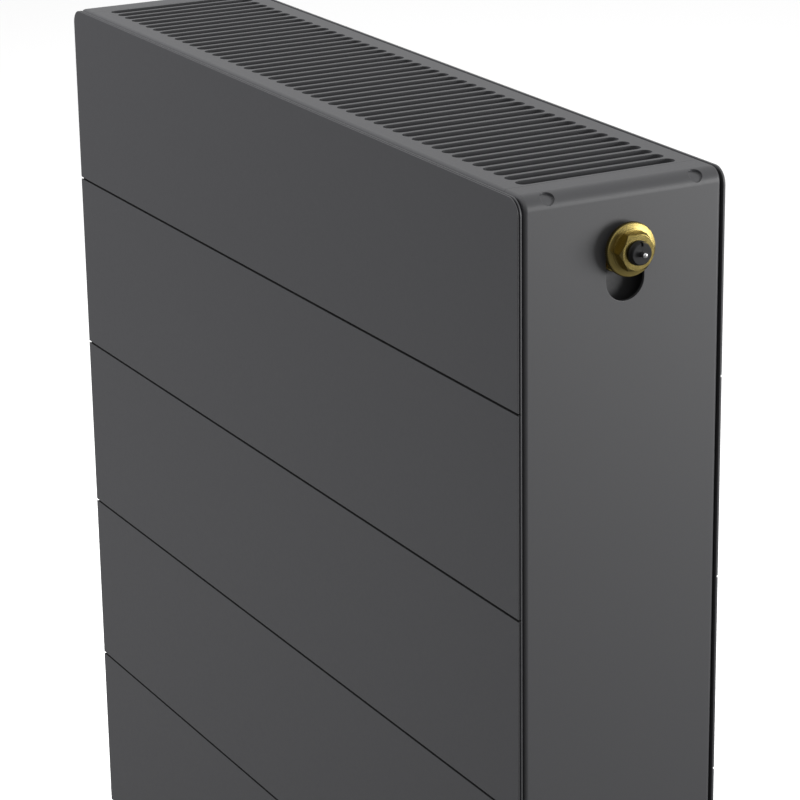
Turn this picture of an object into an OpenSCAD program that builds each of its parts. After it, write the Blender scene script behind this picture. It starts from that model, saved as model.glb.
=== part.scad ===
// Steel panel radiator with flat grooved plates on both faces and a thermostatic valve insert.
// Millimetres. +X is the valve end, -Y is the room side, +Z is up.
// The origin is the middle of the four wall lugs, in the plane that meets the wall brackets.

/* [Body] */
// Length of the radiator, without the valve
body_l = 500; // [500:200:1900]
// Height of the radiator
body_h = 600; // [500:100:900]
// Depth over the two flat plates
body_d = 110; // [110:1:130]
// Distance from the back plate to the wall side of the lugs
wall_gap = 15; // [12:1:40]

/* [Flat plates] */
// Thickness of the front plate over its folded edge
plate_t = 2.2; // [2.2:0.1:3]
// Thickness of the sheet that a plate is folded from
plate_sheet_t = 1.2; // [0.8:0.1:1.4]
// Width of the folded hem round the back of the front plate
plate_hem = 6; // [4:1:9]
// Corner radius of a plate
plate_r = 8; // [4:1:12]
// Distance by which a plate stays below the top of the grille
plate_drop = 0.5; // [0:0.1:2]
// Height of one strip between two grooves
groove_pitch = 100; // [80:1:150]
// Width of a groove at the face
groove_w = 1.2; // [0.6:0.1:3]
// Depth of a groove in the front plate
groove_depth = 1.6; // [0.7:0.1:1.7]

/* [Side covers] */
// Gap between a plate and a side cover
cover_gap = 1.2; // [0.3:0.1:1.5]
// Sheet thickness of a side cover
cover_t = 1.5; // [1:0.1:2]
// Radius between the side and the top of a cover
cover_r = 7; // [4:0.5:12]
// Width of the top return and of the flanges
cover_return = 18; // [12:1:24]
// Width of the round-ended slot around the valve
slot_w = 20.2; // [18:0.1:24]
// Distance between the centres of the slot's two ends
slot_travel = 15; // [8:0.5:25]

/* [Grille] */
// Number of slots in the grille
slot_count = 48; // [20:1:190]
// Distance from the end of the radiator to the middle of the first slot
first_slot = 24; // [22:0.5:30]
// Width of a slot
louvre_w = 7.2; // [4:0.1:8]
// Length of a slot
louvre_l = 84; // [60:1:90]
// Height of the bars between the slots
louvre_t = 5; // [2:0.5:6]
// Distance from a plate to the edge of the grille
grille_gap = 1.2; // [0.3:0.1:1.5]
// Height that the grille lifts before it is clear
grille_lift = 40; // [20:5:100]

/* [Water side] */
// Thickness of a pressed sheet
sheet_t = 1.2; // [1:0.05:1.5]
// Height of the pressed channels above the weld plane
channel_h = 5.7; // [4:0.1:6]
// Distance between two vertical channels
channel_pitch = 33.333; // [33.333]
// Distance from the top or the bottom edge to the middle of a connection
hub_inset = 30; // [27:1:40]
// Distance from the front face to the axis of the connections
hub_back = 56.3; // [50:0.1:60]
// Radius of the bore of a 1/2 inch connection thread
thread_r = 9.3; // [9.2:0.05:9.5]
// Depth of a connection thread at the bottom
thread_depth = 13; // [10:0.5:13.5]
// Distance from the valve end to the supply connection
supply_inset = 60; // [60:1:80]
// Distance between the supply and the return connections
port_pitch = 50; // [50]

/* [Valve insert] */
// Radius of the ribbed disc that carries the thermostatic head
disc_r = 12.75; // [12:0.05:15]
// Thickness of the ribbed disc
disc_t = 3.4; // [3:0.1:8]
// Width across the flats of the hexagon
hex_af = 16.6; // [15:0.1:19]
// Travel of the pin from open to closed
pin_travel = 2.5; // [1.5:0.1:3]

/* [Hidden] */

$fn = 64;
eps = 1;

// Outer faces
x_end = body_l / 2;
y_back = -wall_gap;
y_front = -(wall_gap + body_d);
z_top = body_h / 2;
z_bottom = -body_h / 2;
groove_zs = [z_bottom + groove_pitch : groove_pitch : z_top - groove_pitch];

// Side covers, grille and water panels
cover_y0 = y_front + plate_t + cover_gap;
cover_y1 = y_back - plate_sheet_t - cover_gap;
panel_offset = 10.3;
front_weld_y = y_front + panel_offset;
back_weld_y = y_back - panel_offset;
panel_x = x_end - 3;
panel_z0 = z_bottom + 8;
panel_z1 = z_top - 10;
hub_z0 = z_bottom + hub_inset;
hub_z1 = z_top - hub_inset;
hub_y = y_front + hub_back;
hub_x = x_end - 29;
port_z = z_bottom + 8;
supply_x = x_end - supply_inset;
return_x = supply_x - port_pitch;

// Channels of the pressed sheets: half widths at the foot and at the crest
channel_foot = 11;
channel_crest = 7;
channel_count = floor((body_l - 30) / channel_pitch);
collector_foot = 15;
collector_crest = 12.5;
hub_bore_r = 8;

// Convectors
fin_t = 0.5;
fin_depth = 28;
fin_z0 = z_bottom + 55;
fin_z1 = z_top - 55;

// Connections
tee_r = 13.5;
cross_r = 12;
tee_face = 5;
seal_t = 1;
plug_thread_r = 9.25;
flange_r = 12.5;

// Riser pipe
pipe_r = 7.5;
pipe_wall = 1.5;
pipe_z0 = port_z + 26;
pipe_z1 = hub_z1 - 10;

// Valve insert, as distances outward from the end face along its axis
disc_x0 = 2.5;
hex_x0 = disc_x0 + disc_t;
hex_x1 = hex_x0 + 5;
collar_x0 = hex_x1 + 0.1;
collar_x1 = collar_x0 + 2.9;
pin_x1 = collar_x1 + 3.3;
pin_r = 1.25;
sleeve_r = 4.5;
sleeve_bore = 3.4;
guide_x1 = -8;
cup_x1 = -22.3;
cup_x0 = -36;
cup_r = 8.5;
chamber_r = 8.8;
chamber_x0 = -38;
seat_r = 5.5;
seat_t = 3;
inlet_x0 = -70;
plug_x0 = chamber_x0 + pin_travel + 0.05;
plug_t = 3.5;
plug_r = 7;
washer_t = 1;
spring_seat_x = hex_x1 - 1.2;

// Wall lugs
lug_x = channel_pitch * 4.5;
lug_z = 245;
lug_w = 30;
lug_t = 3;
lug_drop = 25;

steel_paint = [0.27, 0.27, 0.28];
steel_raw = [0.55, 0.56, 0.58];
brass = [0.72, 0.60, 0.30];
rubber = [0.08, 0.08, 0.08];
nickel = [0.75, 0.75, 0.74];

// Points on an arc, from angle a0 to angle a1
function arc(cx, cy, r, a0, a1, n = 8) =
    [for (i = [0 : n]) let (a = a0 + (a1 - a0) * i / n) [cx + r * cos(a), cy + r * sin(a)]];

// Outline of a rectangle with round corners
function round_rect(x0, y0, x1, y1, r) = concat(
    arc(x1 - r, y1 - r, r, 0, 90), arc(x0 + r, y1 - r, r, 90, 180),
    arc(x0 + r, y0 + r, r, 180, 270), arc(x1 - r, y0 + r, r, 270, 360));

// Outline of a slot with round ends, along the second axis
function slot_outline(cx, y0, y1, r, n = 12) =
    concat(arc(cx, y1 - r, r, 0, 180, n), arc(cx, y0 + r, r, 180, 360, n));

// Upper and lower side of a thin folded sheet that follows path, t thick
function normal_of(a, b) = let (d = b - a) [-d[1], d[0]] / norm(d);
function offset_path(p, t) = [for (i = [0 : len(p) - 1])
    let (n0 = normal_of(p[max(i - 1, 0)], p[max(i, 1)]),
         n1 = normal_of(p[min(i, len(p) - 2)], p[min(i + 1, len(p) - 1)]))
    p[i] + t * (n0 + n1) / (1 + n0 * n1)];
function folded(p, t) = let (q = offset_path(p, t)) concat(p, [for (i = [len(q) - 1 : -1 : 0]) q[i]]);

// Extrusions of a flat outline: along Y from an X-Z outline, and along X from a Y-Z outline
module along_y(y0, y1, outline) translate([0, y1, 0]) rotate([90, 0, 0]) linear_extrude(y1 - y0) polygon(outline);
module along_x(x0, x1, outline) translate([x0, 0, 0]) rotate([90, 0, 90]) linear_extrude(x1 - x0) polygon(outline);

// Cylinders along each axis, from one coordinate to the other
module rod_x(x0, x1, y, z, r) translate([x0, y, z]) rotate([0, 90, 0]) cylinder(h = x1 - x0, r = r);
module rod_y(x, y0, y1, z, r) translate([x, y0, z]) rotate([-90, 0, 0]) cylinder(h = y1 - y0, r = r);
module rod_z(x, y, z0, z1, r) translate([x, y, z0]) cylinder(h = z1 - z0, r = r);

// A turned shape on the axis of a connection. Its outline gives [radius, distance out of the end face].
module turned(end, z, outline)
    translate([end * x_end, hub_y, z]) rotate([0, end * 90, 0]) rotate_extrude() polygon(outline);

// A straight or tapered ring of a turned shape
function ring(r0, r1, s0, s1) = [[r0, s0], [r1, s0], [r1, s1], [r0, s1]];

// ---- Flat plates ----
// Both are drawn with their outer face at y = 0 and their inner side towards +Y
function plate_outline(inset) = round_rect(-x_end + inset, z_bottom + inset,
    x_end - inset, z_top - plate_drop - inset, plate_r - inset / 2);

module grooves(depth) {
    half = groove_w / 2;
    floor_half = half * 0.35;
    for (z = groove_zs)
        along_x(-x_end - eps, x_end + eps, [[-eps, z - half], [-eps, z + half], [0, z + half],
            [depth, z + floor_half], [depth, z - floor_half], [0, z - half]]);
}

// Front plate: a hem round its back, and a flat rib behind every groove, where the sheet is folded inwards
module front_plate() color(steel_paint) translate([0, y_front, 0]) {
    fold_half = groove_w / 2 + plate_sheet_t;
    difference() {
        along_y(0, plate_t, plate_outline(0));
        difference() {
            along_y(plate_sheet_t, plate_t + eps, plate_outline(plate_hem));
            for (z = groove_zs)
                translate([-x_end, 0, z - fold_half]) cube([body_l, 2 * plate_t, 2 * fold_half]);
        }
        grooves(groove_depth);
    }
}

// Back plate: a plain sheet with shallow grooves and four openings for the lugs
module back_plate() color(steel_paint) translate([0, y_back, 0]) mirror([0, 1, 0]) {
    shallow = 0.7;
    difference() {
        along_y(0, plate_sheet_t, plate_outline(0));
        grooves(shallow);
        for (x = [-lug_x, lug_x], z = [-lug_z, lug_z])
            along_y(-eps, plate_sheet_t + eps, round_rect(
                x - lug_w / 2 - 2, z - lug_drop - 5, x + lug_w / 2 + 2, z + lug_t + 3, 3));
    }
}

// Adhesive strips between a plate and the crests of the channels behind it, one from rib to rib
module bond_strips(y0, y1) {
    strip_w = 10;
    strip_inset = 8;
    for (i = [-5.5, -1.5, 1.5, 5.5], z = [z_bottom + groove_pitch : groove_pitch : z_top - 2 * groove_pitch])
        translate([i * channel_pitch - strip_w / 2, y0, z + strip_inset])
            cube([strip_w, y1 - y0, groove_pitch - 2 * strip_inset]);
}

module front_bond_strips() color("gray") bond_strips(y_front + plate_sheet_t, front_weld_y - channel_h);
module back_bond_strips() color("gray") bond_strips(back_weld_y + channel_h, y_back - plate_sheet_t);

// ---- Water panels ----
// Closed outline of the channels: grow = 0 is the outside, grow = sheet_t the inside
function channel_outline(grow) = concat([[-panel_x, -grow], [-panel_x, sheet_t - grow]],
    [for (i = [0 : channel_count - 1]) let (x = (i - (channel_count - 1) / 2) * channel_pitch)
        each [[x - channel_foot + grow, sheet_t - grow], [x - channel_crest + grow / 2, channel_h - grow],
              [x + channel_crest - grow / 2, channel_h - grow], [x + channel_foot - grow, sheet_t - grow]]],
    [[panel_x, sheet_t - grow], [panel_x, -grow]]);

function collector_outline(z, grow) = [
    [-grow, z - collector_foot + grow], [sheet_t - grow, z - collector_foot + grow],
    [channel_h - grow, z - collector_crest + grow / 2], [channel_h - grow, z + collector_crest - grow / 2],
    [sheet_t - grow, z + collector_foot - grow], [-grow, z + collector_foot - grow]];

// One pressed sheet, with its weld plane at y = 0 and its channels towards +Y
module pressed_sheet() {
    collector_x = (channel_count - 1) / 2 * channel_pitch + channel_foot;
    difference() {
        union() {
            translate([0, 0, panel_z0]) linear_extrude(panel_z1 - panel_z0) polygon([
                [-panel_x, 0], [-panel_x, sheet_t], [panel_x, sheet_t], [panel_x, 0]]);
            translate([0, 0, hub_z0]) linear_extrude(hub_z1 - hub_z0) polygon(channel_outline(0));
            for (z = [hub_z0, hub_z1])
                along_x(-collector_x, collector_x, collector_outline(z, 0));
        }
        translate([0, 0, hub_z0]) linear_extrude(hub_z1 - hub_z0) polygon(channel_outline(sheet_t));
        for (z = [hub_z0, hub_z1])
            along_x(-collector_x + sheet_t, collector_x - sheet_t, collector_outline(z, sheet_t));
    }
}

// Turns a sheet or a convector so that it points to +Y (side 1) or to -Y (side -1)
module facing(y, side) translate([0, y, 0]) mirror([0, side < 0 ? 1 : 0, 0]) children();

// Sheet that faces the middle, with the holes of the connections
module inner_sheet(y, side) difference() {
    facing(y, side) pressed_sheet();
    for (p = [[hub_x, hub_z0], [hub_x, hub_z1], [-hub_x, hub_z0], [-hub_x, hub_z1], [return_x, hub_z0]])
        rod_y(p[0], y - 2 * channel_h, y + 2 * channel_h, p[1], hub_bore_r);
}

module front_outer_sheet() color(steel_raw) facing(front_weld_y, -1) pressed_sheet();
module front_inner_sheet() color(steel_raw) inner_sheet(front_weld_y, 1);
module back_inner_sheet() color(steel_raw) inner_sheet(back_weld_y, -1);
module back_outer_sheet() color(steel_raw) facing(back_weld_y, 1) pressed_sheet();

// ---- Convectors ----
// One U-shaped fin per channel, with its foot on the crest and its open side towards the middle
module convector() for (i = [0 : channel_count - 1]) {
    x = (i - (channel_count - 1) / 2) * channel_pitch;
    foot = channel_crest - 1;
    spread = 2;
    translate([x, 0, fin_z0]) linear_extrude(fin_z1 - fin_z0) polygon(folded([
        [-foot - spread, fin_depth], [-foot, 0], [foot, 0], [foot + spread, fin_depth]], fin_t));
}

module front_convector() color(steel_raw) facing(front_weld_y + channel_h, 1) convector();
module back_convector() color(steel_raw) facing(back_weld_y - channel_h, -1) convector();

// ---- Grille ----
module top_grille() color(steel_paint) {
    half_l = x_end - cover_return - 0.15;
    y0 = y_front + plate_t + grille_gap;
    y1 = y_back - plate_sheet_t - grille_gap;
    slot_y0 = (y0 + y1 - louvre_l) / 2;
    slot_pitch = (body_l - 2 * first_slot) / (slot_count - 1);
    skirt_t = 1.2;
    skirt_z = z_top - 9.5;
    translate([0, 0, z_top - louvre_t]) linear_extrude(louvre_t) difference() {
        polygon([[-half_l, y0], [half_l, y0], [half_l, y1], [-half_l, y1]]);
        for (i = [0 : slot_count - 1])
            polygon(slot_outline(first_slot - x_end + i * slot_pitch, slot_y0, slot_y0 + louvre_l, louvre_w / 2, 8));
    }
    for (y = [y0, y1 - skirt_t])
        translate([-half_l, y, skirt_z]) cube([2 * half_l, skirt_t, z_top - louvre_t - skirt_z]);
}

// Spring clips under the grille, which straddle the top seam of each water panel
module grille_clips() color(nickel) {
    clip_t = 0.8;
    clip_gap = 1.5;
    clip_flare = 1;
    web_z = z_top - louvre_t;
    fold_z = panel_z1 - 2;
    leg_z = panel_z1 - 4;
    for (x = [-lug_x, lug_x], y = [front_weld_y, back_weld_y])
        along_x(x - 10, x + 10, [for (p = folded([
            [-clip_gap - clip_flare, leg_z], [-clip_gap, fold_z], [-clip_gap, web_z - clip_t],
            [clip_gap, web_z - clip_t], [clip_gap, fold_z], [clip_gap + clip_flare, leg_z]], clip_t)) [y + p[0], p[1]]]);
}

// ---- Side covers ----
// Outline of a cover in X-Z: grow = 0 is the outside, grow = cover_t the inside
function cover_outline(grow) = concat([[x_end - cover_return - grow, z_bottom - grow], [x_end - grow, z_bottom - grow]],
    arc(x_end - cover_r, z_top - cover_r, cover_r - grow, 0, 90, 16), [[x_end - cover_return - grow, z_top - grow]]);

// Right-hand cover: a folded cap that is open towards the middle and at the bottom
module side_cover() {
    mark_r = 3.2;
    mark_depth = 0.8;
    mark_inset = 13;
    difference() {
        along_y(cover_y0, cover_y1, cover_outline(0));
        along_y(cover_y0 + cover_t, cover_y1 - cover_t, cover_outline(cover_t));
        along_x(x_end - 2 * cover_t, x_end + eps,
            slot_outline(hub_y, hub_z1 - slot_travel - slot_w / 2, hub_z1 + slot_w / 2, slot_w / 2, 16));
        // Two round dimples pressed into the rounding
        for (y = [cover_y0 + mark_inset, cover_y1 - mark_inset])
            translate([x_end - cover_r, y, z_top - cover_r]) difference() {
                rotate([0, 45, 0]) cylinder(h = cover_r + eps, r = mark_r);
                rotate([90, 0, 0]) cylinder(h = 3 * mark_r, r = cover_r - mark_depth, center = true);
            }
    }
}

module right_side_cover() color(steel_paint) side_cover();
module left_side_cover() color(steel_paint) mirror([1, 0, 0]) side_cover();

// Spring clips inside a cover, which grip the end seams of both water panels
module cover_clips() {
    clip_t = 0.8;
    web_x = x_end - cover_t;
    for (y = [front_weld_y, back_weld_y], z = [-body_h / 4, body_h / 4])
        translate([0, y, z - 10]) linear_extrude(20) polygon(folded([
            [web_x - 12, sheet_t + 1], [web_x - 10, sheet_t], [web_x - clip_t, sheet_t],
            [web_x - clip_t, -sheet_t], [web_x - 10, -sheet_t], [web_x - 12, -sheet_t - 1]], clip_t));
}

module right_cover_clips() color(nickel) cover_clips();
module left_cover_clips() color(nickel) mirror([1, 0, 0]) cover_clips();

// ---- Connections ----
// Cross tube between the two water panels at (x, z), as a solid or as its bore
module cross_tube(x, z, r) rod_y(x, front_weld_y + channel_h, back_weld_y - channel_h, z, r);

// Right-hand tee with a threaded boss that faces the side cover
module end_tee(z) difference() {
    union() {
        cross_tube(hub_x, z, cross_r);
        rod_x(hub_x, x_end - tee_face, hub_y, z, tee_r);
    }
    cross_tube(hub_x, z, hub_bore_r);
    rod_x(hub_x, x_end - tee_face + eps, hub_y, z, thread_r);
}

module top_left_tee() color(steel_raw) mirror([1, 0, 0]) end_tee(hub_z1);
module bottom_left_tee() color(steel_raw) mirror([1, 0, 0]) end_tee(hub_z0);
module bottom_right_tee() color(steel_raw) end_tee(hub_z0);

// Tee with the valve chamber, the valve seat and the inlet from the riser. A square block, which stands
// behind the slot of the cover, carries the end of the boss.
module valve_tee() color(steel_raw) {
    bore_end = x_end - 24;
    seat_x = x_end + chamber_x0;
    block_x0 = x_end - 22;
    block_x1 = x_end - 8;
    block_half = 17;
    block_drop = 28;
    difference() {
        union() {
            cross_tube(hub_x, hub_z1, cross_r);
            rod_x(x_end + inlet_x0 - 4, x_end - tee_face, hub_y, hub_z1, tee_r);
            rod_z(supply_x, hub_y, hub_z1 - 22, hub_z1, 10.5);
            translate([block_x0, hub_y - block_half, hub_z1 - block_drop])
                cube([block_x1 - block_x0, 2 * block_half, block_drop + block_half]);
        }
        cross_tube(hub_x, hub_z1, hub_bore_r);
        rod_x(bore_end, x_end - tee_face + eps, hub_y, hub_z1, thread_r);
        rod_x(seat_x, bore_end, hub_y, hub_z1, chamber_r);
        rod_x(seat_x - seat_t, seat_x, hub_y, hub_z1, seat_r);
        rod_x(x_end + inlet_x0, seat_x - seat_t, hub_y, hub_z1, chamber_r);
        rod_z(supply_x, hub_y, hub_z1 - 22 - eps, pipe_z1, pipe_r);
        rod_z(supply_x, hub_y, pipe_z1, hub_z1, pipe_r - pipe_wall);
    }
}

// Return connection: a threaded socket below and a cross tube to both panels
module return_tee() color(steel_raw) difference() {
    union() {
        cross_tube(return_x, hub_z0, cross_r);
        rod_z(return_x, hub_y, port_z, hub_z0, 13);
    }
    cross_tube(return_x, hub_z0, hub_bore_r);
    rod_z(return_x, hub_y, port_z - eps, port_z + thread_depth, thread_r);
    rod_z(return_x, hub_y, port_z, hub_z0, hub_bore_r - 0.5);
}

// Supply connection: a threaded socket below, and the foot of the riser above
module supply_socket() color(steel_raw) difference() {
    rod_z(supply_x, hub_y, port_z, pipe_z0 + 10, 13);
    rod_z(supply_x, hub_y, port_z - eps, port_z + thread_depth, thread_r);
    rod_z(supply_x, hub_y, port_z, pipe_z0, pipe_r - pipe_wall);
    rod_z(supply_x, hub_y, pipe_z0, pipe_z0 + 10 + eps, pipe_r);
}

// Plate that holds the two connections at their distance and is welded between the panels
module port_bridge() color(steel_raw) {
    bridge_z = port_z + 7;
    difference() {
        translate([return_x - 20, front_weld_y + channel_h, bridge_z])
            cube([port_pitch + 40, back_weld_y - front_weld_y - 2 * channel_h, 3]);
        for (x = [supply_x, return_x])
            rod_z(x, hub_y, bridge_z - eps, bridge_z + 3 + eps, 13);
    }
}

module riser_pipe() color(steel_raw) difference() {
    rod_z(supply_x, hub_y, pipe_z0, pipe_z1, pipe_r);
    rod_z(supply_x, hub_y, pipe_z0 - eps, pipe_z1 + eps, pipe_r - pipe_wall);
}

// ---- Valve insert ----
// Brass body: threaded inner end, shoulder on the tee, neck through the slot, disc and hexagon
module insert_body() color(brass) {
    hex_r = hex_af / sqrt(3);
    chamfer_r = hex_r - 1.6;
    neck_r = 7.5;
    difference() {
        union() {
            turned(1, hub_z1, [[0, cup_x1 + 0.3], [plug_thread_r, cup_x1 + 0.3], [plug_thread_r, -9.5],
                [7.7, -9.5], [7.7, -7.9], [plug_thread_r, -7.9], [plug_thread_r, -tee_face],
                [flange_r, -tee_face], [flange_r, -tee_face + 2], [neck_r, -tee_face + 2],
                [neck_r, disc_x0], [disc_r, disc_x0], [disc_r, hex_x0], [0, hex_x0]]);
            intersection() {
                translate([x_end + hex_x0, hub_y, hub_z1]) rotate([0, 90, 0])
                    cylinder(h = hex_x1 - hex_x0, r = hex_r, $fn = 6);
                turned(1, hub_z1, [[0, hex_x0 - eps], [hex_r + eps, hex_x0 - eps],
                    [hex_r + eps, hex_x1 - 1.6 - eps], [chamfer_r, hex_x1], [0, hex_x1]]);
            }
        }
        rod_x(x_end + cup_x1 - eps, x_end + hex_x1 + eps, hub_y, hub_z1, sleeve_r + 0.05);
    }
}

module insert_o_ring() color(rubber)
    translate([x_end - 8.7, hub_y, hub_z1]) rotate([0, 90, 0])
        rotate_extrude() translate([8.5, 0]) circle(r = 0.8);

// Black collar that sets the largest flow, with a notch for its key
module preset_collar() color([0.05, 0.05, 0.05]) difference() {
    turned(1, hub_z1, [[pin_r + 0.05, collar_x0], [5.75, collar_x0], [5.75, collar_x0 + 0.8],
        [5.3, collar_x0 + 1], [4.9, collar_x1 - 0.4], [4.5, collar_x1], [pin_r + 0.05, collar_x1]]);
    translate([x_end + collar_x0 + 1.2, hub_y - 0.5, hub_z1 + 3.6]) cube([4, 1, 3]);
}

// Sleeve behind the collar: its cup covers more or less of the way out of the valve chamber
module metering_sleeve() color(brass) difference() {
    turned(1, hub_z1, [[pin_r + 0.05, cup_x1 - 1], [pin_r + 0.05, guide_x1], [sleeve_bore, guide_x1],
        [sleeve_bore, collar_x0], [sleeve_r, collar_x0], [sleeve_r, cup_x1], [cup_r, cup_x1],
        [cup_r, cup_x0], [cup_r - 0.9, cup_x0], [cup_r - 0.9, cup_x1 - 1]]);
    rod_y(hub_x, hub_y - 2 * cup_r, hub_y + 2 * cup_r, hub_z1, 4);
}

// Steel pin with the head of the return spring
module valve_pin() color([0.8, 0.8, 0.82])
    turned(1, hub_z1, [[0, plug_x0 - 1], [2.4, plug_x0 - 1], [2.4, plug_x0], [pin_r, plug_x0],
        [pin_r, spring_seat_x], [sleeve_bore - 0.2, spring_seat_x], [sleeve_bore - 0.2, spring_seat_x + 1],
        [pin_r, spring_seat_x + 1], [pin_r, pin_x1 - 0.5], [pin_r - 0.4, pin_x1], [0, pin_x1]]);

module plug_washer() color(nickel)
    turned(1, hub_z1, ring(pin_r, plug_r - 0.6, plug_x0 + plug_t, plug_x0 + plug_t + washer_t));

module valve_plug() color(rubber)
    turned(1, hub_z1, ring(pin_r, plug_r, plug_x0, plug_x0 + plug_t));

// Point i of a helix along the first axis, from s0 to s1
function helix(i, steps, turns, r, s0, s1) =
    let (a = 360 * turns * i / steps) [s0 + (s1 - s0) * i / steps, r * cos(a), r * sin(a)];

// Coil spring around the pin, as a wire swept along a helix
module return_spring() color([0.8, 0.8, 0.82]) {
    wire_r = 0.35;
    coil_r = 2.45;
    turns = 7;
    sides = 8;
    steps = turns * 10;
    s0 = guide_x1 + wire_r + 0.05;
    s1 = spring_seat_x - wire_r - 0.05;
    rings = [for (i = [0 : steps]) let (c = helix(i, steps, turns, coil_r, s0, s1), a = 360 * turns * i / steps)
        for (j = [0 : sides - 1]) let (b = 360 * j / sides)
            c + wire_r * [sin(b), cos(b) * cos(a), cos(b) * sin(a)]];
    translate([x_end, hub_y, hub_z1]) polyhedron(rings, concat(
        [[for (j = [0 : sides - 1]) j]],
        [for (i = [0 : steps - 1], j = [0 : sides - 1]) let (k = (j + 1) % sides)
            [i * sides + j, (i + 1) * sides + j, (i + 1) * sides + k, i * sides + k]],
        [[for (j = [sides - 1 : -1 : 0]) steps * sides + j]]));
}

// ---- Air vent at the top left ----
module vent_plug() color(nickel) difference() {
    union() {
        turned(-1, hub_z1, [[0, -20], [plug_thread_r, -20], [plug_thread_r, seal_t - tee_face],
            [flange_r, seal_t - tee_face], [flange_r, -2.4], [0, -2.4]]);
        translate([-x_end - 3, hub_y, hub_z1]) rotate([0, 90, 0])
            cylinder(h = 5.4, r = hex_af / sqrt(3), $fn = 6);
        turned(-1, hub_z1, [[0, 3], [4, 3], [4, 8.4], [0, 8.4]]);
    }
    rod_x(-x_end - 10, -x_end + 21, hub_y, hub_z1, 2.55);
    // Cross hole that leads the air to the nozzle
    rod_z(-x_end - 5.7, hub_y, hub_z1 - 5, hub_z1, 0.8);
}

module vent_seal() color(rubber) turned(-1, hub_z1, ring(thread_r, flange_r, -tee_face, seal_t - tee_face));

// Plastic ring that swivels on the neck of the plug, with its spout pointing down
module vent_nozzle() color([0.85, 0.85, 0.85]) {
    ring_x0 = 3.1;
    ring_x1 = 8.3;
    difference() {
        union() {
            turned(-1, hub_z1, ring(4.05, 7.5, ring_x0, ring_x1));
            rod_z(-x_end - 5.7, hub_y, hub_z1 - 11, hub_z1 - 6, 2);
        }
        rod_z(-x_end - 5.7, hub_y, hub_z1 - 11 - eps, hub_z1, 0.8);
    }
}

// Screw with a square head for the vent key
module vent_screw() color(nickel) {
    turned(-1, hub_z1, [[0, -6], [1.2, -6], [2.5, -4], [2.5, 8.5], [4.6, 8.5], [4.6, 9.3], [0, 9.3]]);
    translate([-x_end - 12.8, hub_y - 2.5, hub_z1 - 2.5]) cube([3.6, 5, 5]);
}

// ---- Blind plugs at the bottom ----
module blind_plugs() color(nickel) for (end = [-1, 1]) difference() {
    turned(end, hub_z0, [[0, -17], [plug_thread_r, -17], [plug_thread_r, seal_t - tee_face],
        [flange_r, seal_t - tee_face], [flange_r, -2.2], [0, -2.2]]);
    translate([end * (x_end - 8), hub_y, hub_z0]) rotate([0, end * 90, 0]) cylinder(h = 8, r = 5.8, $fn = 6);
}

module blind_plug_seals() color(rubber) for (end = [-1, 1])
    turned(end, hub_z0, ring(thread_r, flange_r, -tee_face, seal_t - tee_face));

// ---- Wall lugs ----
// Two lugs at one height: a foot on the panel, an arm through the plate and a tongue that hooks down
module wall_lugs(z) for (x = [-lug_x, lug_x]) {
    foot_y = back_weld_y + channel_h;
    along_x(x - lug_w / 2, x + lug_w / 2, [[foot_y, z - 28], [foot_y + 2.2, z - 28], [foot_y + 2.2, z],
        [-lug_t, z], [-lug_t, z - lug_drop], [0, z - lug_drop], [0, z + lug_t - 1.5], [-1.5, z + lug_t],
        [foot_y, z + lug_t]]);
}

module upper_wall_lugs() color(steel_paint) wall_lugs(lug_z);
module lower_wall_lugs() color(steel_paint) wall_lugs(-lug_z);

front_plate();
back_plate();
front_bond_strips();
back_bond_strips();
front_outer_sheet();
front_inner_sheet();
back_inner_sheet();
back_outer_sheet();
front_convector();
back_convector();
top_grille();
grille_clips();
right_side_cover();
left_side_cover();
right_cover_clips();
left_cover_clips();
valve_tee();
top_left_tee();
bottom_left_tee();
bottom_right_tee();
return_tee();
supply_socket();
port_bridge();
riser_pipe();
insert_body();
insert_o_ring();
preset_collar();
metering_sleeve();
valve_pin();
plug_washer();
valve_plug();
return_spring();
vent_plug();
vent_seal();
vent_nozzle();
vent_screw();
blind_plugs();
blind_plug_seals();
upper_wall_lugs();
lower_wall_lugs();
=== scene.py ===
"""Looks of the radiator with valve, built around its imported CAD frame.

Shapes are worked out in millimetres and become metres when a mesh is made. +X is the valve end,
-Y the room side and +Z up.
"""

import math

import bpy
import bmesh
from mathutils import Matrix, Vector
from mathutils.geometry import tessellate_polygon


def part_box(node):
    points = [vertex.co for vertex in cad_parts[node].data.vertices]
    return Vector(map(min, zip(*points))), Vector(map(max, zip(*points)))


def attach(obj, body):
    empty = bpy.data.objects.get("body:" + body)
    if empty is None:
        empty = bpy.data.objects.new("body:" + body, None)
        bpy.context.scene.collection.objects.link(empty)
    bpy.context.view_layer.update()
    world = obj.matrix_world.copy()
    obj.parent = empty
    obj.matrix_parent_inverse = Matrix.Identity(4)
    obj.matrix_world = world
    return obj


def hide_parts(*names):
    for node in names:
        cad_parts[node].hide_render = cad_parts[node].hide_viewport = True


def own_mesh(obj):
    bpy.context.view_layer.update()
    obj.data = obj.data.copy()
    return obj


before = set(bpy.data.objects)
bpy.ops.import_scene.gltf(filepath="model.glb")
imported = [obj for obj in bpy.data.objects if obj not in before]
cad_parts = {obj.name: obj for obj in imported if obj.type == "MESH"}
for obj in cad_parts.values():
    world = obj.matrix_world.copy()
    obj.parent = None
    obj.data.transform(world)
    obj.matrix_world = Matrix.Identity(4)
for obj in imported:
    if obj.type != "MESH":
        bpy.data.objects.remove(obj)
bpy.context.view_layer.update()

MM = 0.001
ROOT = "radiator"


def box_mm(node):
    """Lowest and highest corner of a CAD node, in millimetres."""
    lo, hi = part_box(node)
    return lo / MM, hi / MM


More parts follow.
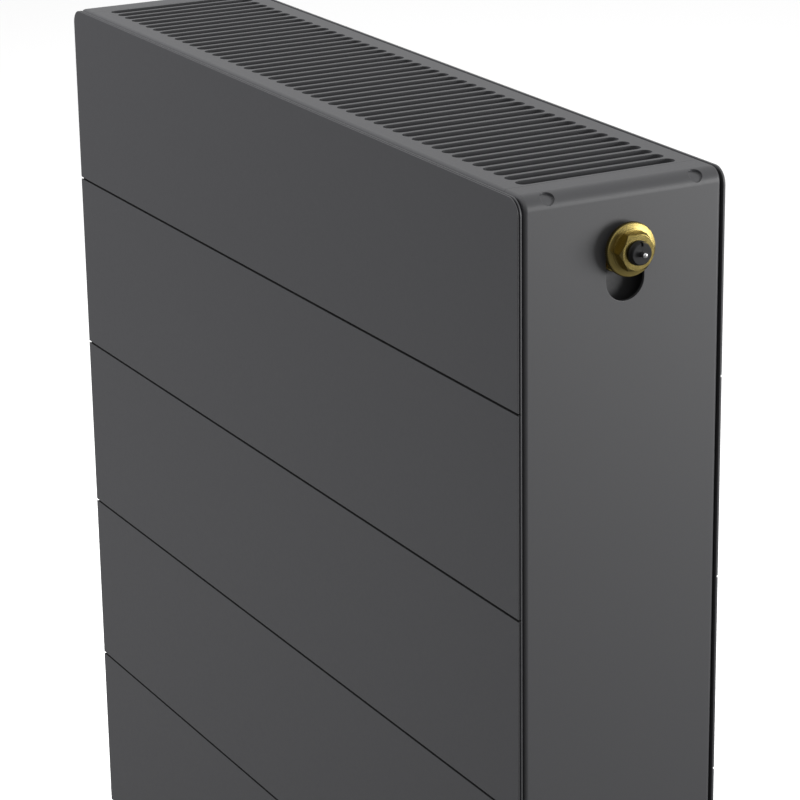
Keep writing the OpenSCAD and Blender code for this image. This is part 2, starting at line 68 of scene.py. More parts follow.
FRONT_LO, FRONT_HI = box_mm("front_plate")
BACK_LO, BACK_HI = box_mm("back_plate")
COVER_LO, COVER_HI = box_mm("right_side_cover")
GRILLE_LO, GRILLE_HI = box_mm("top_grille")
INSERT_LO, INSERT_HI = box_mm("insert_body")
COLLAR_LO, COLLAR_HI = box_mm("preset_collar")
PIN_LO, PIN_HI = box_mm("valve_pin")

# Face of the valve end, top, bottom, and the axis of the valve
X_END = COVER_HI.x
Z_TOP = GRILLE_HI.z
Z_BOTTOM = COVER_LO.z
AXIS_Y = (PIN_LO.y + PIN_HI.y) / 2
AXIS_Z = (PIN_LO.z + PIN_HI.z) / 2

# Front and back plate
FRONT_T = FRONT_HI.y - FRONT_LO.y
BACK_T = BACK_HI.y - BACK_LO.y
PLATE_SHEET = 1.2
PLATE_R = 8
HEM = 6
SEAM_IN = 0.8
SEAM_START = 0.62
SEAM_END = 1.2
GROOVE_PITCH = 100
GROOVE_W = 1.2
GROOVE_DEPTH = 1.6
BACK_GROOVE_DEPTH = 0.7

# Openings of the back plate round its four lugs
LUG_X = 150
LUG_Z = 245
WINDOW_HALF = 17
WINDOW_BELOW = 30
WINDOW_ABOVE = 6
WINDOW_R = 3

# Side covers
COVER_T = 1.5
COVER_R = 7
COVER_EDGE_R = 2.0
VALVE_SLOT_W = 20.2
VALVE_SLOT_DROP = 15
PRESS_MARK_IN = 13

# Grille
LOUVRE_COUNT = 48
FIRST_LOUVRE = 24
LOUVRE_W = 7.2
LOUVRE_L = 84
LOUVRE_T = 5
SKIRT_T = 1.2

# Valve
INSERT_R = 9.25
NECK_R = 7.5
SHOULDER_R = 12.5
WASHER_R = 9.9
HEX_FLATS = 16.6
BORE_R = 4.55
STEM_R = 1.25

# Edges sharper than this many degrees stay sharp
SHARP_ANGLE = 38


# ---- Outlines ----
def arc(cu, cv, r, a0, a1, n):
    """Points on an arc from angle a0 to angle a1, in degrees."""
    angles = [math.radians(a0 + (a1 - a0) * i / n) for i in range(n + 1)]
    return [(cu + r * math.cos(a), cv + r * math.sin(a)) for a in angles]


def round_rect(u0, v0, u1, v1, r, n=10):
    """Rectangle with round corners."""
    return (
        arc(u1 - r, v1 - r, r, 0, 90, n)
        + arc(u0 + r, v1 - r, r, 90, 180, n)
        + arc(u0 + r, v0 + r, r, 180, 270, n)
        + arc(u1 - r, v0 + r, r, 270, 360, n)
    )


def stadium(cu, v0, v1, r, n):
    """Slot with round ends, along the second axis."""
    return arc(cu, v1 - r, r, 0, 180, n) + arc(cu, v0 + r, r, 180, 360, n)


def fillet(points, radius, closed=False, n=3):
    """Rounds the corners of a line. A point may carry its own radius as a third number."""
    result = [] if closed else [tuple(points[0][:2])]
    last = len(points) if closed else len(points) - 1
    for i in range(0 if closed else 1, last):
        here = Vector(points[i][:2])
        back = Vector(points[i - 1][:2]) - here
        ahead = Vector(points[(i + 1) % len(points)][:2]) - here
        r = points[i][2] if len(points[i]) > 2 else radius
        half = back.angle(ahead, math.pi) / 2
        reach = 0 if r == 0 or half > 1.55 else r / math.tan(half)
        reach = min(reach, 0.48 * back.length, 0.48 * ahead.length)
        if reach == 0:
            result.append(tuple(here))
            continue
        a, b = here + back.normalized() * reach, here + ahead.normalized() * reach
        for k in range(n + 1):
            t = k / n
            result.append(tuple(a * (1 - t) ** 2 + here * 2 * t * (1 - t) + b * t * t))
    if not closed:
        result.append(tuple(points[-1][:2]))
    return result


# ---- Meshes ----
class Shell:
    """One mesh made of rings of points, in millimetres."""

    def __init__(self):
        self.points = []
        self.faces = []

    def ring(self, points):
        first = len(self.points)
        self.points += points
        return list(range(first, len(self.points)))

    def join(self, a, b):
        n = len(a)
        self.faces += [(a[i], a[(i + 1) % n], b[(i + 1) % n], b[i]) for i in range(n)]

    def loft(self, rings):
        """Joins rings in order, and returns the first and the last."""
        made = [self.ring(r) for r in rings]
        for a, b in zip(made, made[1:]):
            self.join(a, b)
        return made[0], made[-1]

    def fill(self, outer, holes=()):
        """Flat face inside outer, with holes in it."""
        loops = [outer, *holes]
        index = [i for loop in loops for i in loop]
        corners = [[Vector(self.points[i]) for i in loop] for loop in loops]
        self.faces += [tuple(index[i] for i in t) for t in tessellate_polygon(corners)]

    def made(self, name):
        """The object, with its normals pointing out."""
        mesh = bpy.data.meshes.new(name)
        mesh.from_pydata([Vector(p) * MM for p in self.points], [], self.faces)
        work = bmesh.new()
        work.from_mesh(mesh)
        bmesh.ops.remove_doubles(work, verts=work.verts, dist=1e-7)
        bmesh.ops.recalc_face_normals(work, faces=work.faces)
        work.to_mesh(mesh)
        work.free()
        obj = bpy.data.objects.new(name, mesh)
        bpy.context.scene.collection.objects.link(obj)
        return obj


def stack(name, outline, levels, place):
    """Closed solid: outline(grow) at each (grow, height), placed by place(u, v, height)."""
    shell = Shell()
    rings = [[place(u, v, h) for u, v in outline(grow)] for grow, h in levels]
    first, last = shell.loft(rings)
    shell.faces += [tuple(first), tuple(last)]
    return shell.made(name)


def lathe(name, profile, segments=96, ribs=0, rib_depth=0):
    """Solid turned about the valve's axis.

    The profile gives (radius, distance out of the end face). Points near the widest radius carry
    the ribs, if there are any.
    """
    ribbed_from = max(r for r, s in profile) - 0.25
    shell = Shell()
    rings = []
    for r, s in profile:
        if r < 1e-6:
            rings.append(shell.ring([(X_END + s, AXIS_Y, AXIS_Z)]))
            continue
        points = []
        for i in range(segments):
            a = 2 * math.pi * i / segments
            cut = rib_depth * (0.5 - 0.5 * math.cos(ribs * a)) if r > ribbed_from else 0
            q = r - cut
            points.append((X_END + s, AXIS_Y + q * math.cos(a), AXIS_Z + q * math.sin(a)))
        rings.append(shell.ring(points))
    for a, b in zip(rings, rings[1:]):
        if len(a) == 1 or len(b) == 1:
            tip, ring = (a[0], b) if len(a) == 1 else (b[0], a)
            shell.faces += [(tip, ring[i], ring[(i + 1) % segments]) for i in range(segments)]
        else:
            shell.join(a, b)
    return shell.made(name)


def baked(obj):
    """Applies the object's modifiers to its mesh."""
    bpy.context.view_layer.update()
    graph = bpy.context.evaluated_depsgraph_get()
    mesh = bpy.data.meshes.new_from_object(obj.evaluated_get(graph))
    obj.modifiers.clear()
    obj.data = mesh
    return obj


def combined(obj, tool, operation="DIFFERENCE"):
    """obj after a boolean with tool, which is used up."""
    step = obj.modifiers.new("Combine", "BOOLEAN")
    step.operation = operation
    step.solver = "EXACT"
    step.object = tool
    baked(obj)
    bpy.data.objects.remove(tool)
    return obj


def joined(objects):
    """Several objects as one mesh."""
    work = bmesh.new()
    for o in objects:
        work.from_mesh(o.data)
    work.to_mesh(objects[0].data)
    work.free()
    for o in objects[1:]:
        bpy.data.objects.remove(o)
    return objects[0]


def even_normals(obj):
    """Keeps flat faces flat beside smooth roundings."""
    normals = obj.modifiers.new("Normals", "WEIGHTED_NORMAL")
    normals.keep_sharp = True


def piece(obj, body, slot, material, *nodes, sharp=SHARP_ANGLE):
    """Finishes a new piece: smooth faces, material, body and the CAD nodes that it stands for."""
    mesh = obj.data
    mesh.materials.clear()
    mesh.materials.append(material)
    mesh.shade_smooth()
    mesh.set_sharp_from_angle(angle=math.radians(sharp))
    even_normals(obj)
    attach(obj, body)
    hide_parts(*nodes)


def dress(node, material, bevel):
    """Gives a CAD node its material and small rounded edges."""
    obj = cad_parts[node]
    obj.data.materials.clear()
    obj.data.materials.append(material)
    weld = obj.modifiers.new("Weld", "WELD")
    weld.merge_threshold = 2e-6
    if bevel:
        edge = obj.modifiers.new("Edges", "BEVEL")
        edge.width = bevel * MM
        edge.segments = 2
        edge.limit_method = "ANGLE"
        edge.angle_limit = math.radians(SHARP_ANGLE)
        edge.use_clamp_overlap = True
    even_normals(obj)


# ---- Materials ----
class Nodes:
    """A material's node tree, with a Principled shader at its end."""

    def __init__(self, name):
        self.material = bpy.data.materials.new(name)
        self.material.use_nodes = True
        self.tree = self.material.node_tree
        self.shader = self.tree.nodes["Principled BSDF"]
        self.where = self.add("ShaderNodeTexCoord").outputs["Object"]

    def add(self, kind, **values):
        node = self.tree.nodes.new(kind)
        for key, value in values.items():
            setattr(node, key, value)
        return node

    def link(self, a, b):
        self.tree.links.new(a, b)

    def noise(self, scale, detail, stretch=(1, 1, 1)):
        """Noise with features of about 1 / scale metres."""
        placed = self.add("ShaderNodeMapping")
        placed.inputs["Scale"].default_value = stretch
        self.link(self.where, placed.inputs["Vector"])
        node = self.add("ShaderNodeTexNoise")
        node.inputs["Scale"].default_value = scale
        node.inputs["Detail"].default_value = detail
        self.link(placed.outputs["Vector"], node.inputs["Vector"])
        return node.outputs["Fac"]

    def between(self, value, low, high):
        """Noise, most of which lies between 0.3 and 0.7, spread from low to high."""
        node = self.add("ShaderNodeMapRange")
        node.inputs["From Min"].default_value = 0.3
        node.inputs["From Max"].default_value = 0.7
        node.inputs["To Min"].default_value = low
        node.inputs["To Max"].default_value = high
        self.link(value, node.inputs["Value"])
        return node.outputs["Result"]

    def colour(self, value, dark, light):
        """Base colour between two colours."""
        node = self.add("ShaderNodeMix", data_type="RGBA")
        node.inputs["A"].default_value = (*dark, 1)
        node.inputs["B"].default_value = (*light, 1)
        self.link(self.between(value, 0, 1), node.inputs["Factor"])
        self.link(node.outputs["Result"], self.shader.inputs["Base Color"])

    def bump(self, value, depth):
        """Surface relief of depth millimetres."""
        node = self.add("ShaderNodeBump")
        node.inputs["Distance"].default_value = depth * MM
        node.inputs["Strength"].default_value = 1.0
        self.link(value, node.inputs["Height"])
        self.link(node.outputs["Normal"], self.shader.inputs["Normal"])

    def set(self, **values):
        """Sets inputs of the shader, whose names have an underscore for each space."""
        for key, value in values.items():
            self.shader.inputs[key.replace("_", " ")].default_value = value


def powder_coat(name, level, rough=(0.45, 0.48), peel=0.004):
    """Anthracite powder coat: a faint orange peel, and slight changes of shade and gloss."""
    shade_scale, gloss_scale, peel_scale = 700, 500, 1100
    m = Nodes(name)
    dark = (level * 0.98, level * 0.985, level * 1.05)
    light = (level * 1.005, level * 1.01, level * 1.08)
    m.colour(m.noise(shade_scale, 2), dark, light)
    m.link(m.between(m.noise(gloss_scale, 2), *rough), m.shader.inputs["Roughness"])
    m.bump(m.noise(peel_scale, 2), peel)
    m.set(IOR=1.5)
    return m.material


def metal(name, dark, light, rough, stretch=(1, 1, 1)):
    """Machined or drawn metal, with fine tool marks that a stretch draws out along an axis."""
    shade_scale, gloss_scale, mark_scale, mark_depth = 160, 420, 2500, 0.0007
    m = Nodes(name)
    m.colour(m.noise(shade_scale, 4), dark, light)
    m.link(m.between(m.noise(gloss_scale, 3, stretch), *rough), m.shader.inputs["Roughness"])
    m.bump(m.noise(mark_scale, 2, stretch), mark_depth)
    m.set(Metallic=1.0)
    return m.material


def moulded(name, dark, light, rough, gloss=0.5):
    """Moulded plastic or rubber with a fine grain."""
    shade_scale, gloss_scale, grain_scale, grain_depth = 220, 500, 1800, 0.006
    m = Nodes(name)
    m.colour(m.noise(shade_scale, 3), dark, light)
    m.link(m.between(m.noise(gloss_scale, 2), *rough), m.shader.inputs["Roughness"])
    m.bump(m.noise(grain_scale, 2), grain_depth)
    m.set(Specular_IOR_Level=gloss)
    return m.material


PLATE_PAINT = powder_coat("plate_paint", 0.052)
# Near-black coat that paints the shadow inside the front grooves
GROOVE_SHADE_PAINT = powder_coat("groove_painted_shade", 0.006, rough=(0.7, 0.8))
COVER_PAINT = powder_coat("cover_paint", 0.052)
GRILLE_PAINT = powder_coat("grille_paint", 0.052)
PANEL_PAINT = powder_coat("panel_paint", 0.040, rough=(0.5, 0.6), peel=0.02)
CONVECTOR_PAINT = powder_coat("convector_paint", 0.045, rough=(0.5, 0.62), peel=0.02)
TEE_PAINT = powder_coat("tee_paint", 0.028, rough=(0.5, 0.6), peel=0.02)
ALONG_X = (0.15, 1, 1)
BRASS = metal("brass", (0.25, 0.195, 0.065), (0.29, 0.23, 0.08), (0.20, 0.26), ALONG_X)
STEEL = metal("steel", (0.60, 0.60, 0.61), (0.72, 0.72, 0.73), (0.10, 0.20), ALONG_X)
SPRING_STEEL = metal("spring_steel", (0.45, 0.46, 0.48), (0.58, 0.58, 0.60), (0.22, 0.32))
NICKEL = metal("nickel", (0.52, 0.51, 0.48), (0.64, 0.63, 0.60), (0.18, 0.28), ALONG_X)
BLACK_PLASTIC = moulded(
    "black_plastic", (0.007, 0.007, 0.008), (0.012, 0.012, 0.013), (0.40, 0.50), gloss=0.22)
WHITE_PLASTIC = moulded("white_plastic", (0.66, 0.66, 0.64), (0.72, 0.72, 0.70), (0.34, 0.42))
RUBBER = moulded("rubber", (0.010, 0.010, 0.011), (0.018, 0.018, 0.019), (0.6, 0.72))
ADHESIVE = moulded("adhesive", (0.10, 0.10, 0.10), (0.15, 0.15, 0.15), (0.55, 0.7))


# ---- Flat plates ----
def groove_cutter(z, face_y, inward, depth):
    """Long prism that cuts one groove with rounded lips and a rounded bottom."""
    half, lip, above = GROOVE_W / 2, 0.15, 0.01
    straight = depth * 0.6
    side = [(half + lip, -1)] + arc(half + lip, lip - above, lip, 270, 180, 4)
    side += [
        (half * math.cos(a), straight + (depth - straight) * math.sin(a)) for a in (0.4, 0.8, 1.2)
    ]
    section = side + [(-w, d) for w, d in reversed(side)]
    return stack(
        "groove",
        lambda grow: section,
        [(0, -X_END - 1), (0, X_END + 1)],
        lambda w, d, x: (x, face_y + inward * d, z + w),
    )


def fold_bar(z):
    """Rib behind one groove of the front plate, where the sheet is folded inwards."""
    half, inset, round_r, start = GROOVE_W / 2 + PLATE_SHEET, HEM - 0.5, 0.3, 0.3
    section = fillet(
        [(-half, start), (half, start), (half, FRONT_T, round_r), (-half, FRONT_T, round_r)],
        0, closed=True)
    return stack(
        "fold",
        lambda grow: section,
        [(0, -X_END + inset), (0, X_END - inset)],
        lambda w, d, x: (x, FRONT_LO.y + d, z + w),
    )


def flat_plate(name, lo, hi, inward, edge):
    """Plate with round corners. Its edge is a line of (inset, depth, radius) points."""
    face_y = lo.y if inward > 0 else hi.y

    def outline(inset):
        r = PLATE_R - inset / 2
        return round_rect(lo.x + inset, lo.z + inset, hi.x - inset, hi.z - inset, r)

    return stack(name, outline, fillet(edge, 0), lambda u, v, h: (u, face_y + inward * h, v))


def groove_heights():
    """Height of each groove, from the bottom up."""
    count = round((Z_TOP - Z_BOTTOM) / GROOVE_PITCH)
    return [Z_BOTTOM + i * GROOVE_PITCH for i in range(1, count)]


def shade_grooves(plate, zs):
    """Paints shade into the front grooves: their inside gets a near-black coat as painted shadow.
    """
    plate.data.materials.append(GROOVE_SHADE_PAINT)
    for face in plate.data.polygons:
        depth = face.center.y / MM - FRONT_LO.y
        off = min(abs(face.center.z / MM - z) for z in zs)
        inside = 0.05 < depth < GROOVE_DEPTH + 0.01 and abs(face.center.x) < X_END * MM
        if inside and off < GROOVE_W / 2 + 0.1:
            face.material_index = 1


def front_plate():
    """Folded plate: a seam round its edge, a hem and ribs behind."""
    edge = [
        (1.4, 0), (0, 0, 0.3), (0, SEAM_START - 0.12, 0.06),
        (SEAM_IN, SEAM_START, 0.1), (SEAM_IN, SEAM_END, 0.1), (0, SEAM_END + 0.22, 0.1),
        (0, FRONT_T, 0.25), (HEM, FRONT_T, 0.4), (HEM, PLATE_SHEET, 0.3), (HEM + 1, PLATE_SHEET),
    ]
    plate = flat_plate("plate_front", FRONT_LO, FRONT_HI, 1, edge)
    zs = groove_heights()
    combined(plate, joined([fold_bar(z) for z in zs]), "UNION")
    combined(plate, joined([groove_cutter(z, FRONT_LO.y, 1, GROOVE_DEPTH) for z in zs]))
    piece(plate, ROOT, "plate_paint", PLATE_PAINT, "front_plate")
    # Painted shade: the faces inside the grooves get the near-black coat
    shade_grooves(plate, zs)


def lug_window(x, z):
    """Cutter for the soft-edged opening round a wall lug."""

    def outline(grow):
        return round_rect(
            x - WINDOW_HALF - grow, z - WINDOW_BELOW - grow,
            x + WINDOW_HALF + grow, z + WINDOW_ABOVE + grow, WINDOW_R + grow)

    levels = [(0.5, -1), (0.5, -0.01), (0.15, 0.1), (0, 0.4), (0, 4)]
    return stack("window", outline, levels, lambda u, v, h: (u, BACK_HI.y - h, v))


def back_plate():
    """Plain sheet with shallow grooves and openings for the lugs."""
    edge = [(1.4, 0), (0, 0, 0.3), (0, BACK_T, 0.2), (1.4, BACK_T)]
    plate = flat_plate("plate_back", BACK_LO, BACK_HI, -1, edge)
    cutters = [groove_cutter(z, BACK_HI.y, -1, BACK_GROOVE_DEPTH) for z in groove_heights()]
    cutters += [lug_window(x, z) for x in (-LUG_X, LUG_X) for z in (-LUG_Z, LUG_Z)]
    combined(plate, joined(cutters))
    piece(plate, ROOT, "plate_paint", PLATE_PAINT, "back_plate")


# ---- Side covers ----
def cover_block(name, end, inset, y0, y1, edge_r, over):
    """Solid under a cover's outer or inner skin, with a flat side and a rounded top edge."""
    inner_x = COVER_LO.x - over

    def outline(grow):
        d = inset + grow
        return (
            [(inner_x, Z_BOTTOM - over), (X_END - d, Z_BOTTOM - over)]
            + arc(X_END - COVER_R, Z_TOP - COVER_R, COVER_R - d, 0, 90, 16)
            + [(inner_x, Z_TOP - d)]
        )

    levels = [
        (edge_r - edge_r * math.sin(a), y0 + edge_r - edge_r * math.cos(a))
        for a in (math.pi / 2 * i / 6 for i in range(7))
    ]
    levels += [(g, y0 + y1 - y) for g, y in reversed(levels)]
    return stack(name, outline, levels, lambda u, v, h: (end * u, h, v))


def dimple_cutter(end, y):
    """Round press mark in the rounded top edge. Its floor tilts from flush to sharp."""
    radius, soft, deepest, flush = 3.6, 0.12, 1.25, 0.12
    tilt_angle = math.radians(45)
    steps = 64

    def place(rho, a, r):
        lean = math.pi / 4 + math.asin(max(-1, min(1, rho * math.sin(a) / COVER_R)))
        return (
            end * (X_END - COVER_R + r * math.cos(lean)),
            y + rho * math.cos(a),
            Z_TOP - COVER_R + r * math.sin(lean),
        )

    def floor_r(rho, a):
        along = rho / radius * math.cos(a - tilt_angle)
        return COVER_R - flush - (deepest - flush) * (0.5 + 0.5 * along)

    shell = Shell()
    angles = [2 * math.pi * i / steps for i in range(steps)]
    rings = [
        shell.ring([place(rho, a, floor_r(rho, a)) for a in angles])
        for rho in (radius * 0.35, radius * 0.7, radius - soft)
    ]
    rings.append(shell.ring(
        [place(radius - soft * 0.2, a, floor_r(radius, a) + 0.05) for a in angles]))
    for rho, r in (
        (radius, COVER_R - soft * 0.6),
        (radius + soft * 0.5, COVER_R + 0.01),
        (radius + soft, COVER_R + 1.6),
    ):
        rings.append(shell.ring([place(rho, a, r) for a in angles]))
    tip = shell.ring([place(0, 0, floor_r(0, 0))])[0]
    shell.faces += [(tip, rings[0][i], rings[0][(i + 1) % steps]) for i in range(steps)]
    for a, b in zip(rings, rings[1:]):
        shell.join(a, b)
    shell.faces.append(tuple(rings[-1]))
    return shell.made("dimple")


def side_cover(name, end, node):
    """Folded cover with a round-ended slot for the valve and two press marks."""
    y0, y1 = COVER_LO.y, COVER_HI.y
    slot_r = VALVE_SLOT_W / 2

    def slot_outline(grow):
        r = slot_r + grow
        return stadium(
            AXIS_Y, AXIS_Z - VALVE_SLOT_DROP - slot_r - grow, AXIS_Z + slot_r + grow, r, 20)

    cover = cover_block(name, end, 0, y0, y1, COVER_EDGE_R, 0)
    combined(cover, cover_block("hollow", end, COVER_T, y0 + COVER_T, y1 - COVER_T, 0.3, 2))
    slot = stack(
        "slot",
        slot_outline,
        [(0.45, -1), (0.36, -0.01), (0.12, 0.06), (0.01, 0.3), (0, 4)],
        lambda u, v, h: (end * (X_END - h), u, v),
    )
    marks = [dimple_cutter(end, y) for y in (y0 + PRESS_MARK_IN, y1 - PRESS_MARK_IN)]
    combined(cover, joined([slot, *marks]))
    piece(cover, ROOT, "cover_paint", COVER_PAINT, node)


# ---- Grille ----
def grille():
    """Slotted top plate with a skirt round it. Its long edges are rounded, its ends are plain."""
    lo, hi = GRILLE_LO, GRILLE_HI
    skirt = hi.z - lo.z

    def rect(dx, dy, h):
        x0, x1 = lo.x + dx, hi.x - dx
        y0, y1 = lo.y + dy, hi.y - dy
        return [(x, y, hi.z - h) for x, y in ((x0, y0), (x1, y0), (x1, y1), (x0, y1))]

    shell = Shell()
    rounding = [
        (0, COVER_EDGE_R * (1 - math.sin(a)), COVER_EDGE_R * (1 - math.cos(a)))
        for a in (math.pi / 2 * i / 6 for i in range(7))
    ]
    walls = rounding + [(0, 0, skirt), (SKIRT_T, SKIRT_T, skirt), (SKIRT_T, SKIRT_T, LOUVRE_T)]
    top, under = shell.loft([rect(*w) for w in walls])
    middle = (lo.y + hi.y) / 2
    pitch = (2 * X_END - 2 * FIRST_LOUVRE) / (LOUVRE_COUNT - 1)
    lip, relief = 0.12, 0.3
    levels = [
        (lip, 0), (lip * 0.38, lip * 0.1), (lip * 0.1, lip * 0.38), (0, lip),
        (0, LOUVRE_T - relief), (relief, LOUVRE_T),
    ]

    def louvre(x, grow):
        return stadium(
            x, middle - LOUVRE_L / 2 - grow, middle + LOUVRE_L / 2 + grow, LOUVRE_W / 2 + grow, 10)

    tops, unders = [], []
    for i in range(LOUVRE_COUNT):
        x = FIRST_LOUVRE - X_END + i * pitch
        first, last = shell.loft([[(u, v, hi.z - h) for u, v in louvre(x, g)] for g, h in levels])
        tops.append(first)
        unders.append(last)
    shell.fill(top, tops)
    shell.fill(under, unders)
    piece(shell.made("grille"), "grille", "grille_paint", GRILLE_PAINT, "top_grille")


# ---- Valve insert ----
def insert_body():
    """Brass body: inner end with its O-ring groove, shoulder, neck, ribbed disc and hexagon."""
    disc_r, hex_r = (INSERT_HI.y - INSERT_LO.y) / 2, HEX_FLATS / math.sqrt(3)
    inner, hex_end = INSERT_LO.x - X_END, INSERT_HI.x - X_END
    ring_0, ring_1, ring_r = -9.5, -7.9, 7.7
    shoulder_0, shoulder_1 = -5, -3
    disc_start, washer_end = 2.5, 5.9
    disc_end = washer_end - 0.4
    body = lathe("brass_insert", fillet([
        (0, inner), (INSERT_R, inner, 0.6),
        (INSERT_R, ring_0, 0.2), (ring_r, ring_0, 0.2),
        (ring_r, ring_1, 0.2), (INSERT_R, ring_1, 0.2),
        (INSERT_R, shoulder_0), (SHOULDER_R, shoulder_0, 0.3), (SHOULDER_R, shoulder_1, 0.3),
        (NECK_R, shoulder_1, 0.2), (NECK_R, disc_start, 0.2),
        (disc_r - 0.5, disc_start, 0.1), (disc_r, disc_start + 0.45, 0.1),
        (disc_r, disc_end - 0.5, 0.1), (disc_r - 0.5, disc_end, 0.1),
        (WASHER_R, disc_end, 0.05), (WASHER_R, washer_end, 0.12), (0, washer_end),
    ], 0.2), segments=480, ribs=80, rib_depth=0.32)
    turns = [math.pi * k / 3 for k in range(6)]
    corners = [(hex_r * math.cos(a), hex_r * math.sin(a)) for a in turns]
    hexagon = [(AXIS_Y + u, AXIS_Z + v) for u, v in fillet(corners, 0.25, closed=True)]
    nut = stack(
        "nut",
        lambda grow: hexagon,
        [(0, washer_end - 1.2), (0, hex_end + 1)],
        lambda u, v, h: (X_END + h, u, v),
    )
    blank_r, chamfer = hex_r + 1, 1.88
    blank = lathe("blank", fillet([
        (0, washer_end - 1), (blank_r, washer_end - 1), (blank_r, hex_end - chamfer),
        (hex_r - 1.3, hex_end, 0.25), (0, hex_end),
    ], 0), segments=160)
    combined(nut, blank, "INTERSECT")
    combined(body, nut, "UNION")
    bore = lathe("bore", [
        (0, inner - 1), (BORE_R, inner - 1), (BORE_R, hex_end - 0.3),
        (BORE_R + 0.85, hex_end + 0.5), (0, hex_end + 0.5),
    ])
    combined(body, bore)
    piece(body, ROOT, "brass", BRASS, "insert_body", sharp=30)


def preset_collar():
    """Black collar with a notch for its key."""
    s0, s1 = COLLAR_LO.x - X_END, COLLAR_HI.x - X_END
    hole_r, flange_r, tip_r = STEM_R + 0.05, 5.75, 4.8
    notch_half, notch_0, notch_1 = 0.5, 3.6, 6.6
    collar = lathe("black_collar", fillet([
        (hole_r, s0), (flange_r, s0, 0.15), (flange_r, s0 + 0.8, 0.2),
        (flange_r - 0.3, s0 + 1, 0.15), (tip_r + 0.4, s1 - 0.3, 0.3), (tip_r, s1, 0.2),
        (hole_r, s1, 0.05), (hole_r, s0),
    ], 0))

    def notch_outline(grow):
        y0, y1 = AXIS_Y - notch_half - grow, AXIS_Y + notch_half + grow
        return round_rect(y0, AXIS_Z + notch_0, y1, AXIS_Z + notch_1, 0.2, 3)

    notch = stack(
        "notch",
        notch_outline,
        [(0, s0 + 1.2), (0, s1 - 0.2), (0.15, s1 + 0.1), (0.15, s1 + 1)],
        lambda u, v, h: (X_END + h, u, v),
    )
    combined(collar, notch)
    piece(collar, "preset", "black_plastic", BLACK_PLASTIC, "preset_collar", sharp=32)


def valve_pin():
    """Steel pin with a domed tip, and the head that its spring pushes on."""
    s0, s1 = PIN_LO.x - X_END, PIN_HI.x - X_END
    foot_r, head_r, tip_r = 2.4, (PIN_HI.y - PIN_LO.y) / 2, 0.75
    seat = COLLAR_LO.x - X_END - 1.3
    pin = lathe("steel_pin", fillet([
        (0, s0), (foot_r, s0, 0.2), (foot_r, s0 + 1, 0.2), (STEM_R, s0 + 1),
        (STEM_R, seat), (head_r, seat, 0.15), (head_r, seat + 1, 0.15), (STEM_R, seat + 1),
        (STEM_R, s1 - 0.55, 0.3), (tip_r, s1, 0.5), (0, s1),
    ], 0, n=5), segments=64)
    piece(pin, "pin", "steel", STEEL, "valve_pin", sharp=40)


def return_spring():
    """Coil spring that is pressed together as the pin goes in."""
    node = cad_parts["return_spring"]
    spring = bpy.data.objects.new("coil_spring", node.data.copy())
    bpy.context.scene.collection.objects.link(spring)
    piece(spring, ROOT, "spring_steel", SPRING_STEEL, "return_spring", sharp=60)
    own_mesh(spring)


front_plate()
back_plate()
side_cover("cover_right", 1, "right_side_cover")
side_cover("cover_left", -1, "left_side_cover")
grille()
insert_body()
preset_collar()
valve_pin()
return_spring()

# Material, width of the rounded edges, and the CAD nodes that keep their own shape
DRESSED = [
    (PANEL_PAINT, 0.3, "front_outer_sheet", "front_inner_sheet", "back_inner_sheet",
     "back_outer_sheet"),
    (CONVECTOR_PAINT, 0.0, "front_convector", "back_convector"),
    (ADHESIVE, 0.4, "front_bond_strips", "back_bond_strips"),
    (NICKEL, 0.15, "grille_clips", "right_cover_clips", "left_cover_clips", "blind_plugs",
     "vent_plug", "vent_screw", "plug_washer"),
    (TEE_PAINT, 0.4, "valve_tee", "top_left_tee", "bottom_left_tee", "bottom_right_tee",
     "return_tee", "supply_socket", "port_bridge", "riser_pipe"),
    (PLATE_PAINT, 0.5, "upper_wall_lugs", "lower_wall_lugs"),
    (RUBBER, 0.2, "insert_o_ring", "valve_plug", "vent_seal", "blind_plug_seals"),
    (BRASS, 0.1, "metering_sleeve"),
    (WHITE_PLASTIC, 0.2, "vent_nozzle"),
]
for material, bevel, *names in DRESSED:
    for n in names:
        dress(n, material, bevel)


# ---- Stage ----
# The floor looks almost white, but reflects less light onto the object, as a grey table would
FLOOR_SEEN = 0.98
FLOOR_BOUNCE = 0.15
FLOOR_HALF = 30000
FLOOR_GAP = 0.5
SKY_LOW = 0.32
SKY_HIGH = 1.15
CAMERA_PLACE = (1.38535, -0.79474, 0.65025)
CAMERA_ANGLES = (151.759, -18.558, -0.857)
CAMERA_LENS = 139.63
CAMERA_SENSOR = 36


def floor():
    """Wide floor just under the object."""
    shell = Shell()
    a, z = FLOOR_HALF, Z_BOTTOM - FLOOR_GAP
    shell.fill(shell.ring([(-a, -a, z), (a, -a, z), (a, a, z), (-a, a, z)]))
    obj = shell.made("floor")
    m = Nodes("floor")
    ray = m.add("ShaderNodeLightPath")
    shade = m.add("ShaderNodeMix", data_type="RGBA")
    shade.inputs["A"].default_value = (*[FLOOR_BOUNCE] * 3, 1)
    shade.inputs["B"].default_value = (*[FLOOR_SEEN] * 3, 1)
    m.link(ray.outputs["Is Camera Ray"], shade.inputs["Factor"])
    m.link(shade.outputs["Result"], m.shader.inputs["Base Color"])
    m.set(Roughness=1.0, Specular_IOR_Level=0.0)
    obj.data.materials.append(m.material)


def area_light(name, place, aim, size, power, glossy=True):
    """Soft rectangular light. Without glossy, it doesn't show as a reflection."""
    data = bpy.data.lights.new(name, "AREA")
    data.shape = "RECTANGLE"
    data.size, data.size_y = size
    data.energy = power
    obj = bpy.data.objects.new(name, data)
    obj.location = place
    obj.visible_glossy = glossy
    obj.rotation_mode = "QUATERNION"
    obj.rotation_quaternion = (Vector(aim) - Vector(place)).to_track_quat("-Z", "Y")
    bpy.context.scene.collection.objects.link(obj)


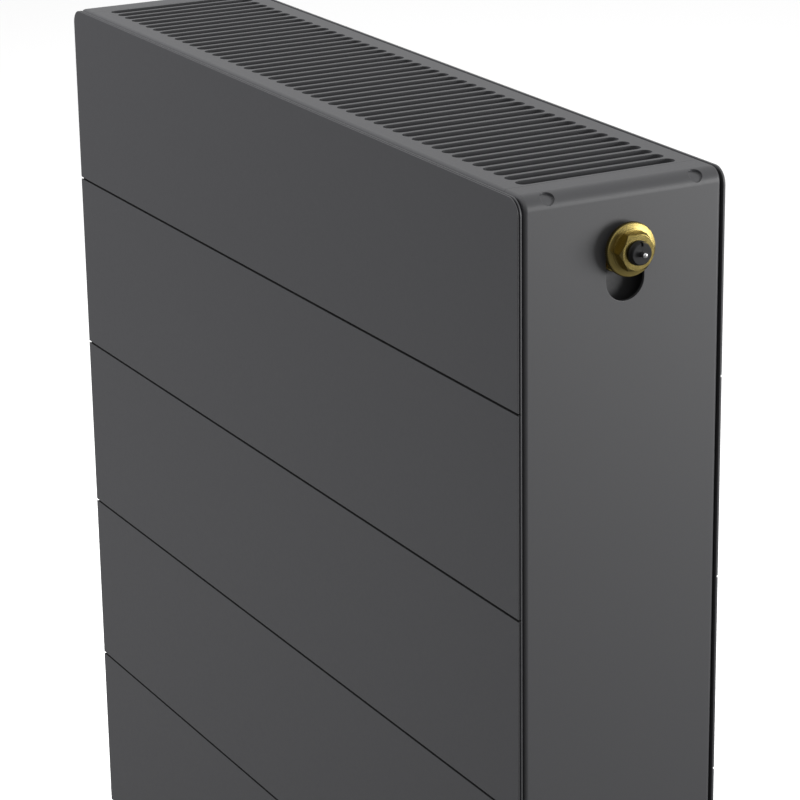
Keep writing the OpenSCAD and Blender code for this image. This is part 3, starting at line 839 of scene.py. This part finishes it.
def sky():
    """Even white surroundings that are brighter overhead."""
    world = bpy.data.worlds.new("studio")
    world.use_nodes = True
    bpy.context.scene.world = world
    tree = world.node_tree
    back = tree.nodes["Background"]
    where = tree.nodes.new("ShaderNodeTexCoord")
    split = tree.nodes.new("ShaderNodeSeparateXYZ")
    level = tree.nodes.new("ShaderNodeMapRange")
    level.inputs["From Min"].default_value = 0.0
    level.inputs["From Max"].default_value = 1.0
    level.inputs["To Min"].default_value = SKY_LOW
    level.inputs["To Max"].default_value = SKY_HIGH
    tree.links.new(where.outputs["Generated"], split.inputs["Vector"])
    tree.links.new(split.outputs["Z"], level.inputs["Value"])
    tree.links.new(level.outputs["Result"], back.inputs["Strength"])
    back.inputs["Color"].default_value = (1, 1, 1, 1)


def camera():
    """Three-quarter view from the right, above the valve end."""
    yaw, pitch, roll = (math.radians(a) for a in CAMERA_ANGLES)
    flat = math.cos(pitch)
    ahead = Vector((flat * math.cos(yaw), flat * math.sin(yaw), math.sin(pitch)))
    right = ahead.cross(Vector((0, 0, 1))).normalized()
    up = right.cross(ahead)
    tilted_right = math.cos(roll) * right + math.sin(roll) * up
    tilted_up = tilted_right.cross(ahead)
    data = bpy.data.cameras.new("camera")
    data.lens = CAMERA_LENS
    data.sensor_width = CAMERA_SENSOR
    data.clip_start, data.clip_end = 0.05, 100
    obj = bpy.data.objects.new("camera", data)
    place = Matrix((tilted_right, tilted_up, -ahead)).transposed().to_4x4()
    place.translation = CAMERA_PLACE
    obj.matrix_world = place
    bpy.context.scene.collection.objects.link(obj)
    bpy.context.scene.camera = obj


floor()
sky()
area_light("side", place=(1.8, 1.7, 0.3), aim=(0.25, -0.07, 0.1), size=(1.2, 1.0), power=50)
area_light("front_left", place=(-1.0, -1.1, 1.1), aim=(-0.25, -0.12, 0.3), size=(0.8, 0.8),
           power=36, glossy=False)
area_light("backdrop", place=(-2.9, 1.65, 1.5), aim=(0.0, 0.0, 0.3), size=(3.0, 2.4), power=4)
camera()
bpy.context.scene.view_settings.view_transform = "Standard"
